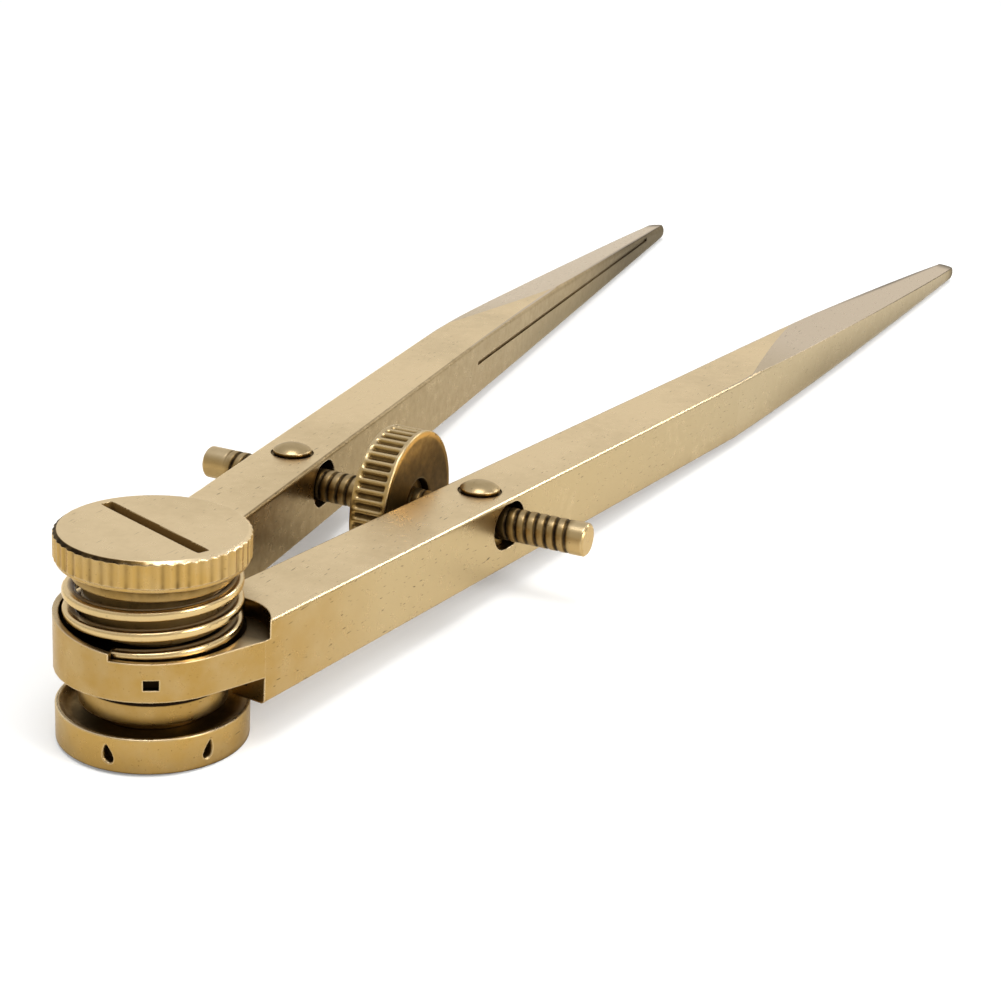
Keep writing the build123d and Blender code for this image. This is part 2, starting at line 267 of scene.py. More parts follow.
def squareRound(turn, squareness):
    # Superellipse: the cosine and the sine, each raised to 2 over the squareness with its sign kept
    power = 2 / squareness
    across = np.sign(np.cos(turn)) * np.abs(np.cos(turn)) ** power
    up = np.sign(np.sin(turn)) * np.abs(np.sin(turn)) ** power
    return across, up


def makePiece(name, grid, grimeAndShade=None, ring=False, bodies=None, replaced=(), slot="turned_brass"):
    # A grid of rows, each closed round. With ring the rows also close on each other, otherwise both
    # ends get a fan
    rows, columns = grid.shape[:2]
    points = grid.reshape(-1, 3)
    a = np.arange(rows if ring else rows - 1)[:, None]
    b = np.arange(columns)[None, :]
    a2 = (a + 1) % rows
    b2 = (b + 1) % columns
    row, row2 = a * columns, a2 * columns
    quads = np.stack(np.broadcast_arrays(row + b, row + b2, row2 + b2, row2 + b), -1)
    corners = quads.reshape(-1)
    sizes = np.full(quads.shape[0] * quads.shape[1], 4)
    # Per-point values that the brass material reads: soil, and painted shade
    soilAndShade = np.zeros(len(points)) if grimeAndShade is None else np.broadcast_to(grimeAndShade, grid.shape[:2]).reshape(-1)
    if not ring:
        one = np.arange(columns)
        two = (one + 1) % columns
        last = (rows - 1) * columns
        first = np.stack((np.full(columns, len(points)), two, one), -1)
        end = np.stack((np.full(columns, len(points) + 1), last + one, last + two), -1)
        points = np.concatenate((points, grid[0].mean(0)[None], grid[-1].mean(0)[None]))
        soilAndShade = np.concatenate((soilAndShade, [soilAndShade[0], soilAndShade[-1]]))
        corners = np.concatenate((corners, first.reshape(-1), end.reshape(-1)))
        sizes = np.concatenate((sizes, np.full(2 * columns, 3)))
    data = bpy.data.meshes.new(name)
    data.vertices.add(len(points))
    data.loops.add(len(corners))
    data.polygons.add(len(sizes))
    data.vertices.foreach_set("co", (points * mm).astype(np.float32).ravel())
    data.loops.foreach_set("vertex_index", corners.astype(np.int32))
    data.polygons.foreach_set("loop_start", (np.cumsum(sizes) - sizes).astype(np.int32))
    data.polygons.foreach_set("use_smooth", np.ones(len(sizes), bool))
    layer = data.attributes.new("grimeAndShade", "FLOAT", "POINT")
    layer.data.foreach_set("value", soilAndShade.astype(np.float32))
    data.update(calc_edges=True)
    data.validate()
    obj = bpy.data.objects.new(name, data)
    bpy.context.scene.collection.objects.link(obj)
    if bodies is not None:
        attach(obj, bodies)
        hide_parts(*replaced)
        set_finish(obj, slot)
    return obj


def placeKey(points):
    # One whole number for each point's place to the nearest micrometre
    steps = np.round(points.reshape(-1, 3) / mm * 1000).astype(np.int64)
    return steps @ np.array((1, 2**20, 2**40))


def cutAway(obj, cutter, value, sharpFrom=35):
    # Takes one closed mesh out of another, keeps only the result and gives the new faces' points a
    # grimeAndShade value
    cut = obj.modifiers.new("cut", "BOOLEAN")
    cut.operation = "DIFFERENCE"
    cut.solver = "EXACT"
    cut.object = cutter
    bpy.context.view_layer.update()
    graph = bpy.context.evaluated_depsgraph_get()
    result = bpy.data.meshes.new_from_object(obj.evaluated_get(graph))
    # The new faces lie inside the old piece, so each of their corners is one of the cutter's or on a
    # cut edge
    owned = np.zeros(len(cutter.data.vertices) * 3, np.float32)
    cutter.data.vertices.foreach_get("co", owned)
    points = np.zeros(len(result.vertices) * 3, np.float32)
    result.vertices.foreach_get("co", points)
    mine = np.isin(placeKey(points), placeKey(owned))
    soilAndShade = np.zeros(len(mine), np.float32)
    result.attributes["grimeAndShade"].data.foreach_get("value", soilAndShade)
    soilAndShade[mine] = value
    result.attributes["grimeAndShade"].data.foreach_set("value", soilAndShade)
    obj.modifiers.clear()
    old = obj.data
    obj.data = result
    bpy.data.meshes.remove(old)
    spent = cutter.data
    bpy.data.objects.remove(cutter)
    bpy.data.meshes.remove(spent)
    obj.data.set_sharp_from_angle(angle=math.radians(sharpFrom))


# Pivot screw: a fluted head with a screwdriver slot, a collar, a guide that shows between the
# spring's turns, a journal and a threaded end
pivotScrew = {
    "threadRadius": 2.2,
    "journalRadius": 3.0,
    "journalLow": 1.85,
    "guideRadius": 4.4,
    "guideHeight": 3.01,
    "collarRadius": 5.05,
    "collarHeight": 0.98,
    "headHeight": 2.05,
    "bandHeight": 0.28,
    "crownRise": 0.22,
    "crownInset": 0.3,
    "flutes": 50,
    "fluteDepth": 0.1,
    "slotLength": 10.5,
    "slotWidth": 0.88,
    "slotDepth": 0.8,
    "slotTurn": 67.9,
    "slotSquareness": 12,
    "coreRadius": 0.3,
    "step": 0.35,
    "columnsPerFlute": 14,
    "flutePower": 1.4,
    "unevenFlutes": (0.7, 1.0),
    "streakLean": (0.35, 0.65),
    "streakSoil": (0.05, 0.5),
    "streakWidth": 0.2,
    "crownShade": 1.0,
    "collarDarkening": 0.25,
    "underHeadShadow": 0.5,
    "packedSoil": -1.5,
    "slotSoil": -2.0,
    "crownLitTurn": 298.0,
    "seed": 4,
}


def makePivotScrew(s):
    low, high = boxOf("pivot_screw")
    top = high[2]
    radius = (high[0] - low[0]) / 2
    headLow = top - s["headHeight"]
    collarLow = headLow - s["collarHeight"]
    bandTop = headLow + s["bandHeight"]
    crownLow = top - s["crownRise"]
    inner = radius - s["fluteDepth"]
    journalLow = s["journalLow"] + low[2]
    guideLow = collarLow - s["guideHeight"]
    line = softProfile([
        (s["coreRadius"], low[2], 0),
        (s["threadRadius"], low[2], 0.12),
        (s["threadRadius"], journalLow, 0),
        (s["journalRadius"], journalLow, 0.05),
        (s["journalRadius"], guideLow, 0.05),
        (s["guideRadius"], guideLow, 0.1),
        (s["guideRadius"], collarLow, 0.05),
        (s["collarRadius"], collarLow, 0.16),
        (s["collarRadius"], headLow, 0.05),
        (inner - 0.06, headLow, 0.14),
        (inner, bandTop, 0.02),
        (radius, bandTop + 0.06, 0.05),
        (radius, crownLow, 0.05),
        (radius - s["crownInset"], top, 0.04),
        (s["coreRadius"], top, 0),
    ])
    line = spread(line, s["step"])
    angle = around(s["flutes"] * s["columnsPerFlute"])[None, :]
    profile, height = line[:, :1], line[:, 1:]
    # Flutes: hollows side by side, deepest in their middle, each a little deeper or shallower than
    # its neighbour
    share = (angle / (2 * np.pi) * s["flutes"]) % 1
    which = np.floor(angle / (2 * np.pi) * s["flutes"]).astype(int) % s["flutes"]
    draw = np.random.default_rng(s["seed"])
    uneven = draw.uniform(*s["unevenFlutes"], s["flutes"])[which]
    hollow = np.sin(np.pi * share) ** s["flutePower"]
    fluted = np.minimum(profile, radius - s["fluteDepth"] * hollow * uneven)
    onHead = height > bandTop
    shape = np.where(onHead, fluted, profile)
    # Darkening: a soft streak in each flute, painted shade on the half of the crown away from the light,
    # a painted shadow under the head, a darker collar, and packed dirt from the guide down
    side = onHead & (height < crownLow)
    lean = draw.uniform(*s["streakLean"], s["flutes"])[which]
    dark = draw.uniform(*s["streakSoil"], s["flutes"])[which]
    streak = dark * np.exp(-(((share - lean) / s["streakWidth"]) ** 2))
    streak = streak * (0.7 + 0.3 * ease((bandTop + 0.6 - height) / 0.5))
    crown = ease((height - crownLow + 0.05) / 0.04) * ease((top - 0.01 - height) / 0.03)
    crownUnlit = ease(0.5 - 2.0 * np.cos(angle - math.radians(s["crownLitTurn"])))
    onCollar = (height < headLow + 0.01) & (profile < s["collarRadius"] + 0.1)
    headShadow = ease((height - collarLow - 0.35) / 0.45) * onCollar
    grimeAndShade = np.where(side, streak, s["crownShade"] * crown * crownUnlit)
    underHeadDark = s["collarDarkening"] + s["underHeadShadow"] * headShadow
    grimeAndShade = np.where(height < headLow + 0.01, underHeadDark, grimeAndShade)
    grimeAndShade = np.where(height < collarLow + 0.02, s["packedSoil"], grimeAndShade)
    grid = turnGrid(shape, height, angle)
    obj = makePiece("pivotScrew", grid, grimeAndShade, bodies="pivot", replaced=["pivot_screw"])
    cutAway(obj, makeSlotCutter(s, top), s["slotSoil"])


def makeSlotCutter(s, top):
    # The slot's outline is a superellipse, nearly a long rectangle with rounded corners, a touch
    # wider at the top
    level = np.array([[-s["slotDepth"]], [-0.12], [0.0], [0.6]])
    wide = np.array([[0.96], [0.98], [1.03], [1.1]])
    lengthwise, sideways = squareRound(around(96)[None, :], s["slotSquareness"])
    along = s["slotLength"] / 2 * lengthwise * np.ones_like(level)
    across = s["slotWidth"] / 2 * wide * sideways
    turn = math.radians(s["slotTurn"])
    x = along * math.cos(turn) - across * math.sin(turn)
    y = along * math.sin(turn) + across * math.cos(turn)
    return makePiece("slotCutter", np.stack((x, y, np.broadcast_to(top + level, x.shape)), -1))


# Spring: flattened wire wound into a coil, both ends ground flat
tensionSpring = {
    "outerRadius": 5.6,
    "wireWidth": 0.9,
    "wireHeight": 0.68,
    "squareness": 3.0,
    "turns": 2.75,
    "startTurn": 185.0,
    "firstMiddle": 0.25,
    "pitch": 1.324,
    "stepsPerTurn": 120,
    "stepsAround": 36,
    "shadeFrom": 0.35,
    "shadeReach": 0.60,
    "outerShelter": 0.95,
    "coilShade": 0.6,
    "wireUnderShade": 0.6,
    "darkEnd": 0.12,
    "darkEndShade": -1.6,
    "footEndSoil": 1.0,
}


def makeTensionSpring(s):
    low, high = boxOf("tension_spring")
    # Helix whose height grows by the pitch each turn, its section a superellipse, cut level at both ends
    turn = np.linspace(0, s["turns"], int(s["turns"] * s["stepsPerTurn"]))[:, None]
    side = around(s["stepsAround"])[None, :]
    out, up = squareRound(side, s["squareness"])
    radius = s["outerRadius"] - s["wireWidth"] / 2 + s["wireWidth"] / 2 * out
    height = low[2] + s["firstMiddle"] + s["pitch"] * turn - s["wireHeight"] / 2 * up
    height = np.clip(height, low[2], high[2])
    angle = math.radians(s["startTurn"]) + turn * 2 * np.pi
    # Painted shade: brown dirt colour, which is no metal, on the inner face and the inner half of the top
    # where the coil above shades it, brown below, and none where the front catches the light
    inward = ease((s["shadeFrom"] - np.cos(side)) / s["shadeReach"])
    under = ease(2.0 * np.sin(side) - 1.0)
    grimeAndShade = -(s["outerShelter"] + s["coilShade"] * inward) * (1 - under) + s["wireUnderShade"] * under
    # Painted shade on the top end, which lies under the collar, in the same dirt colour
    grimeAndShade = np.where(turn > s["turns"] - s["darkEnd"], s["darkEndShade"], grimeAndShade)
    grimeAndShade = np.where(turn < 0.001, s["footEndSoil"], grimeAndShade)
    obj = makePiece("tensionSpring", turnGrid(radius, height, angle), grimeAndShade)
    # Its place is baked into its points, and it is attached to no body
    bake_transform(obj)
    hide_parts("tension_spring")
    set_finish(obj, "spring_brass")


# Base nut: a dished disc with six worn spanner marks in its rim
baseNut = {
    "bore": 2.23,
    "lipRadius": 5.86,
    "dishRadius": 5.0,
    "dishDepth": 0.5,
    "marks": 6,
    "markTurn": 6.8,
    "markWidth": 0.6,
    "markHeight": 1.1,
    "markDepth": 0.7,
    "markLean": 0.12,
    "markFill": (0.8, 1.0),
    "markTaper": 0.45,
    "markEdge": (1.12, 0.22),
    "markSoil": 0.95,
    "dishDarkening": 1.2,
    "dishShelter": 0.6,
    "wall": 0.3,
    "step": 0.5,
    "rimRows": 46,
    "columns": 1080,
    "seed": 9,
}


def makeBaseNut(s):
    low, high = boxOf("base_nut")
    radius = (high[0] - low[0]) / 2
    top = high[2]
    floor = top - s["dishDepth"]
    line = softProfile([
        (s["bore"] + s["wall"], 0, 0),
        (radius, 0, 0.12),
        (radius, top, 0.1),
        (s["lipRadius"], top, 0.05),
        (0.4 * s["lipRadius"] + 0.6 * s["dishRadius"], floor, 0.5),
        (s["bore"], floor, 0.05),
        (s["bore"], 0, 0.05),
        (s["bore"] + s["wall"], 0, 0),
    ])[:-1]
    rim = (line[:, 0] > radius - 0.01) & (line[:, 1] > 0.1)
    foot = np.argmax(rim)
    head = len(rim) - 1 - np.argmax(rim[::-1])
    rises = np.linspace(line[foot, 1], line[head, 1], s["rimRows"])
    sides = np.stack((np.full(s["rimRows"], radius), rises), -1)
    line = np.concatenate((line[:foot], sides, line[head + 1:]))
    line = np.concatenate((line[:1], spread(line[1:], s["step"])))
    angle = around(s["columns"])[None, :]
    profile, height = line[:, :1], line[:, 1:]
    # Marks: drops, pointed above and round below, sunk into the rim; each leans and fills a little
    # differently
    draw = np.random.default_rng(s["seed"])
    dent = np.zeros((len(line), s["columns"]))
    edge, fade = s["markEdge"]
    for i in range(s["marks"]):
        turn = math.radians(s["markTurn"] + i * 360 / s["marks"])
        lean, fill = draw.uniform(-s["markLean"], s["markLean"]), draw.uniform(*s["markFill"])
        away = (angle - turn + np.pi) % (2 * np.pi) - np.pi
        up = (height - top / 2) / (s["markHeight"] / 2)
        side = (away * radius + lean * up) / (s["markWidth"] / 2 * fill)
        narrow = 1.0 - s["markTaper"] * np.clip(up, -1, 1)
        reach = np.sqrt((side / narrow) ** 2 + up**2)
        dent = np.maximum(dent, ease((edge - reach) / fade) * fill)
    onRim = (profile > radius - 0.02) & (height > 0.1)
    shape = profile - np.where(onRim, s["markDepth"] * dent, 0)
    inDish = (profile < s["lipRadius"] + 0.01) & (height > floor - 0.01)
    grimeAndShade = np.where(onRim, s["markSoil"] * dent, 0.0)
    # The dish darkens from near its lip down to its floor; near the lip the negative value weakens the
    # hollows' painted shade
    slope = ease((s["lipRadius"] - profile) / (s["lipRadius"] - s["dishRadius"] + 0.1))
    grimeAndShade = np.where(inDish, s["dishDarkening"] * slope - s["dishShelter"], grimeAndShade)
    makePiece("baseNut", turnGrid(shape, height, angle), grimeAndShade, True, "left_side", ["base_nut"])


# Swivel posts: each has a riveted dome over the leg and a cross hole for the screw
swivelPost = {
    "radius": 2.0,
    "neck": 1.1,
    "neckHigh": 0.60,
    "domeRadius": 1.52,
    "seatDepth": 0.10,
    "domeEdge": 0.36,
    "domeHigh": 0.74,
    "domeInset": 0.10,
    "domeSide": 0.24,
    "domePower": 2.8,
    "domeRows": 26,
    "coreRadius": 0.2,
    "step": 0.6,
    "columns": 96,
    "hole": 1.31,
    "holeColumns": 64,
    "neckSoil": 0.55,
    "domeSoil": 0.12,
    "domeEdgeShadow": 0.83,
    "holeSoil": 0.8,
}


def makeSwivelPost(s, node, name, body):
    low, high = boxOf(node)
    middle = (low + high) / 2
    legTop = boxOf("left_leg")[1][2]
    top = legTop + s["domeHigh"]
    seat = legTop - s["seatDepth"]
    shoulder = legTop - s["neckHigh"]
    edge = seat + s["domeEdge"]
    line = softProfile([
        (s["coreRadius"], low[2], 0),
        (s["radius"], low[2], 0.08),
        (s["radius"], shoulder, 0.08),
        (s["neck"], shoulder, 0.03),
        (s["neck"], seat, 0.03),
        (s["domeRadius"] - s["domeInset"], seat, 0.09),
        (s["domeRadius"], seat + s["domeSide"], 0),
    ])
    # Dome: an upright edge that rounds over into a crown, its height falling with a power of the
    # radius
    reach = np.cos(np.linspace(0, np.pi / 2, s["domeRows"])[1:-1])
    rise = (top - edge) * (1 - reach ** s["domePower"])
    crown = np.stack((s["domeRadius"] * reach, edge + rise), -1)
    line = np.concatenate((spread(line[:-1], s["step"]), line[-1:], crown))
    angle = around(s["columns"])[None, :]
    profile, height = line[:, :1], line[:, 1:]
    grid = turnGrid(profile, height, angle)
    grid[..., 0] += middle[0]
    grid[..., 1] += middle[1]
    # Painted shadow: dark low on the dome's edge, where it stands proud of the leg
    below = ease((edge - 0.08 - height) / 0.22)
    upper = s["domeSoil"] + s["domeEdgeShadow"] * below
    grimeAndShade = np.where(height < shoulder + 0.05, s["neckSoil"], upper) * np.ones_like(angle)
    obj = makePiece(name, grid, grimeAndShade, bodies=body, replaced=[node])
    hole = np.array([-1.5 * s["radius"], 1.5 * s["radius"]])[:, None]
    bore = onScrew(turnGrid(s["hole"], hole - middle[1], around(s["holeColumns"])[None, :]))
    cutAway(obj, makePiece("crossHole", bore), s["holeSoil"])


# Screw's own line: it runs through both posts, from the left leg towards the right one
def onScrew(grid):
    # Turns a grid that stands on the Z axis on to the screw, its +Z towards the right leg
    low, high = boxOf("adjusting_screw")
    middle = (low + high) / 2
    return np.stack((middle[0] + grid[..., 0], -grid[..., 2], middle[2] + grid[..., 1]), -1)


adjustingScrew = {
    "pitch": 0.8,
    "depth": 0.17,
    "crest": 3.0,
    "stepsPerTurn": 18,
    "columns": 60,
    "coreRadius": 0.2,
    "chamfer": 0.16,
    "plainLeft": 1.8,
    "leftFade": 0.6,
    "plainRight": 1.0,
    "rightFade": 0.5,
    "wheelMiddle": 1.7,
    "wheelHold": 0.9,
    "wheelFade": 0.5,
    "browned": 0.3,
    "brownEnd": 0.12,
    "grooveStart": 0.42,
    "grooveFade": 0.45,
    "legMiddle": 8.1,
    "legReach": 3.6,
    "legFade": 0.8,
    "legSoilAndShade": 0.7,
}


def makeAdjustingScrew(s):
    low, high = boxOf("adjusting_screw")
    radius = (high[0] - low[0]) / 2
    leftEnd, rightEnd = -high[1], -low[1]
    line = softProfile([
        (s["coreRadius"], leftEnd, 0),
        (radius - s["chamfer"], leftEnd, 0.04),
        (radius, leftEnd + s["chamfer"], 0.05),
        (radius, rightEnd - s["chamfer"], 0.05),
        (radius - s["chamfer"], rightEnd, 0.04),
        (s["coreRadius"], rightEnd, 0),
    ])
    line = spread(line, s["pitch"] / s["stepsPerTurn"])
    profile, along = line[:, :1], line[:, 1:]
    angle = around(s["columns"])[None, :]
    # Thread: the distance from the wheel in pitches, less the turn, so that the two halves are of
    # opposite hands; each crest is a rounded block and the groove between two crests is narrow
    fromWheel = np.abs(along - s["wheelMiddle"])
    share = (fromWheel / s["pitch"] - angle / (2 * np.pi)) % 1
    across = np.abs(2 * share - 1)
    groove = 1 - (1 - across ** s["crest"]) ** (1 / s["crest"])
    threaded = ease((along - leftEnd - s["plainLeft"]) / s["leftFade"])
    threaded = threaded * ease((rightEnd - s["plainRight"] - along) / s["rightFade"])
    threaded = threaded * ease((fromWheel - s["wheelHold"]) / s["wheelFade"])
    shape = profile - s["depth"] * groove * threaded
    inGroove = ease((across - s["grooveStart"]) / s["grooveFade"])
    grimeAndShade = s["browned"] * threaded + (1 - s["browned"]) * inGroove * threaded
    grimeAndShade = np.maximum(grimeAndShade, s["brownEnd"] * (along < 0))
    # Darker where the screw runs through and beside the legs: painted shade, and soil
    fromLeg = np.abs(np.abs(along) - s["legMiddle"])
    grimeAndShade = np.maximum(grimeAndShade, s["legSoilAndShade"] * ease((s["legReach"] - fromLeg) / s["legFade"]))
    grid = onScrew(turnGrid(shape, along, angle))
    makePiece("adjustingScrew", grid, grimeAndShade, False, "screw_and_wheel", ["adjusting_screw"], "screw_brass")


# Wheel: straight grooves between two plain rims, and a recess round the screw in its right face
adjustingWheel = {
    "grooves": 46,
    "depth": 0.24,
    "rim": 0.36,
    "edge": 0.12,
    "bore": 1.29,
    "recessRadius": 2.1,
    "recessDepth": 0.9,
    "step": 0.16,
    "columnsEach": 16,
    "hollowFrom": 0.84,
    "hollowFade": 0.72,
    "runout": 0.16,
    "grooveSoil": 0.70,
    "recessShade": 0.95,
    "faceSoilAndShade": 0.5,
    "faceInset": 0.30,
    "faceFade": 0.25,
}


def makeAdjustingWheel(s):
    low, high = boxOf("adjusting_wheel")
    radius = (high[2] - low[2]) / 2
    left, right = -high[1], -low[1]
    middle = (left + right) / 2
    line = softProfile([
        (s["bore"], middle, 0),
        (s["bore"], left, 0.06),
        (radius, left, s["edge"]),
        (radius, right, s["edge"]),
        (s["recessRadius"], right, 0.1),
        (s["recessRadius"], right - s["recessDepth"], 0.1),
        (s["bore"], right - s["recessDepth"], 0.04),
        (s["bore"], middle, 0),
    ])[:-1]
    line = spread(line, s["step"])
    profile, along = line[:, :1], line[:, 1:]
    angle = around(s["grooves"] * s["columnsEach"])[None, :]
    # Grooves: round-bottomed, a little wider than the ridges, running out just before the rims
    share = np.abs(2 * ((angle / (2 * np.pi) * s["grooves"]) % 1) - 1)
    hollow = ease((s["hollowFrom"] - share) / s["hollowFade"])
    reach = (right - left) / 2 - s["rim"] - np.abs(along - middle)
    cut = hollow * ease(reach / s["runout"] + 0.3) * (profile > radius - s["edge"] / 2)
    shape = profile - s["depth"] * cut
    grimeAndShade = s["grooveSoil"] * ease((cut - 0.25) / 0.65)
    # Painted shade in the recess round the screw; on the right face painted reflection and patina, darker
    # towards the middle
    inRecess = (profile < s["recessRadius"] + 0.02) & (along > right - s["recessDepth"] - 0.01)
    face = (along > right - 0.01) & (profile > s["recessRadius"])
    grimeAndShade = np.where(inRecess, s["recessShade"], grimeAndShade)
    faceShade = ease((radius - s["faceInset"] - profile) / s["faceFade"])
    grimeAndShade = np.where(face, s["faceSoilAndShade"] * faceShade, grimeAndShade)
    grid = onScrew(turnGrid(shape, along, angle))
    makePiece("adjustingWheel", grid, grimeAndShade, True, "screw_and_wheel", ["adjusting_wheel"])


makePivotScrew(pivotScrew)
makeTensionSpring(tensionSpring)
makeBaseNut(baseNut)
print("pivot screw, spring and base nut made")
makeSwivelPost(swivelPost, "left_swivel_post", "leftSwivelPost", "left_swivel")
makeSwivelPost(swivelPost, "right_swivel_post", "rightSwivelPost", "right_swivel")
makeAdjustingScrew(adjustingScrew)
makeAdjustingWheel(adjustingWheel)
print("swivel posts, adjusting screw and wheel made")

# Aged brass: tones with painted light and shade, patina, pits, fine scratches and worn edges; each finish
# changes a few of them.
# A pair is where a layer starts and where it is full, lengths in metres; where the name ends in
# Warmth, Share or Soil, or is roughness, a pair is what the layer runs between
agedBrass = {
    # The pale tone is painted light on upper faces and the colour of worn edges; the side tones are painted
    # shade and reflection on the sides; the deep tone is painted shade and soil
    "paleTone": (0.80, 0.635, 0.40),
    "sideShadeTone": (0.44, 0.33, 0.172),
    "farSideShadeTone": (0.375, 0.298, 0.180),
    "headSideShadeTone": (0.36, 0.22, 0.062),
    "deepTone": (0.16, 0.095, 0.028),
    "grazingTint": (1.0, 0.92, 0.77),
    "patina": (0.014, 0.008, 0.004),
    "dirtAndShadeTone": (0.17, 0.095, 0.027),
    "dirtShine": 0.12,
    "warmth": 0.05,
    "warmPatches": (0.38, 0.66),
    "patchWarmth": (-0.10, 0.22),
    "warmMottle": (0.35, 0.7),
    "mottleWarmth": (-0.08, 0.10),
    "sideFacing": (0.80, 0.30),
    "headReach": (0.0065, 0.017),
    "farReach": (0.035, 0.080),
    "innerReach": (0.006, 0.045),
    "innerShade": (0.95, 0.60),
    "smudgeSize": 0.0024,
    "smudges": (0.34, 0.58),
    "smudgeShare": (0.65, 1.0),
    "blotches": (0.30, 0.68),
    "blotchSoil": (0.75, 1.1),
    "roughMottle": (0.3, 0.7),
    "roughness": (0.26, 0.32),
    "soilRoughness": 0.25,
    "patchSize": 0.011,
    "mottleSize": 0.0009,
    "fineShare": 0.35,
    "dashLength": 0.0011,
    "dashWidth": 0.00016,
    "firstDashes": (0.715, 0.785),
    "firstTurn": (0.3, 0.4, 0.7),
    "secondDashes": (0.725, 0.795),
    "secondTurn": (1.2, -0.5, -0.9),
    "pitSize": 0.0014,
    "pits": (0.075, 0.03),
    "pitShare": (0.0, 0.7),
    "markPatches": (0.40, 0.62),
    "markShare": (0.35, 0.90),
    "markStrength": 0.8,
    "closeReach": 0.0006,
    "closeShade": (0.85, 0.30),
    "wideReach": 0.0035,
    "wideShade": (0.90, 0.25),
    "shadeShare": (0.0, 0.95),
    "blackened": (0.35, 1.0),
    "packedDirtAndShade": (-1.1, -1.6),
    "crustMottle": (0.35, 0.65),
    "crustShare": (1.2, 0.6),
    "edgeReach": 0.00016,
    "wornEdge": (0.998, 0.95),
    "wornShare": (0.0, 0.5),
    "wornAway": (0.0, 0.08),
    "bump": 0.06,
    "bumpHeight": 0.00002,
    "leg": None,
}
# Leg: where its points, eyes and inner faces get painted shade and soil, in metres along it, up or from the
# pivot's axis
legSoilAndShade = {
    "facetFrom": (0.070, 0.071),
    "facetTilt": (0.9970, 0.9940),
    "facetTilted": (0.85, 0.90),
    "facetTone": (0.63, 0.535, 0.44),
    "facetStart": (0.083, 0.094),
    "startTone": (0.54, 0.45, 0.34),
    "under": (0.078, 0.100),
    "underHeight": (0.0078, 0.0046),
    "underShare": (0.15, 1.0),
    "underTone": (0.17, 0.125, 0.06),
    "tips": (0.085, 0.135),
    "tipEdge": (0.999, 0.97),
    "endCap": (0.1525, 0.1572),
    "endCapShade": (0.0, 0.9),
    "farEdge": (0.0009, 0.0003),
    "farEdgeShade": (0.0, 0.8),
    "farEdgeSlope": 0.10575,
    "farEdgeStart": 0.00271,
    "stepFloor": (0.00720, 0.00732),
    "stepFloorTop": (0.00755, 0.00745),
    "stepFloorFrom": (-0.0010, 0.0015),
    "stepFloorTo": (0.012, 0.010),
    "stepFloorTilt": (0.5, 0.8),
    "stepFloorShade": (0.0, 0.85),
    "shadeFade": (0.104, 0.120),
    "shadeFadeShare": (1.0, 0.25),
    "drum": (0.00485, 0.00500),
    "drumShare": (0.25, 1.0),
    "inward": (-0.0002, -0.0012),
    "insideRadius": (0.00611, 0.00609),
    "insideLow": (0.00383, 0.00393),
    "insideHigh": (0.00736, 0.00732),
}
finishes = {
    "leg_brass": {"leg": legSoilAndShade},
    "turned_brass": {"warmth": 0.12, "headReach": (1.0, 2.0), "headSideShadeTone": (0.42, 0.26, 0.075)},
    "handled_brass": {"warmth": 0.75, "headReach": (1.0, 2.0), "headSideShadeTone": (0.42, 0.26, 0.075)},
    "screw_brass": {"warmth": 0.45, "headReach": (1.0, 2.0), "headSideShadeTone": (0.42, 0.28, 0.11)},
    "spring_brass": {
        "warmth": 0.0,
        "patchSize": 0.004,
        "roughness": (0.17, 0.23),
        "paleTone": (0.76, 0.58, 0.33),
        "headSideShadeTone": (0.56, 0.40, 0.18),
        "dirtAndShadeTone": (0.13, 0.065, 0.014),
    },
    "washer_brass": {"warmth": 0.85},
}


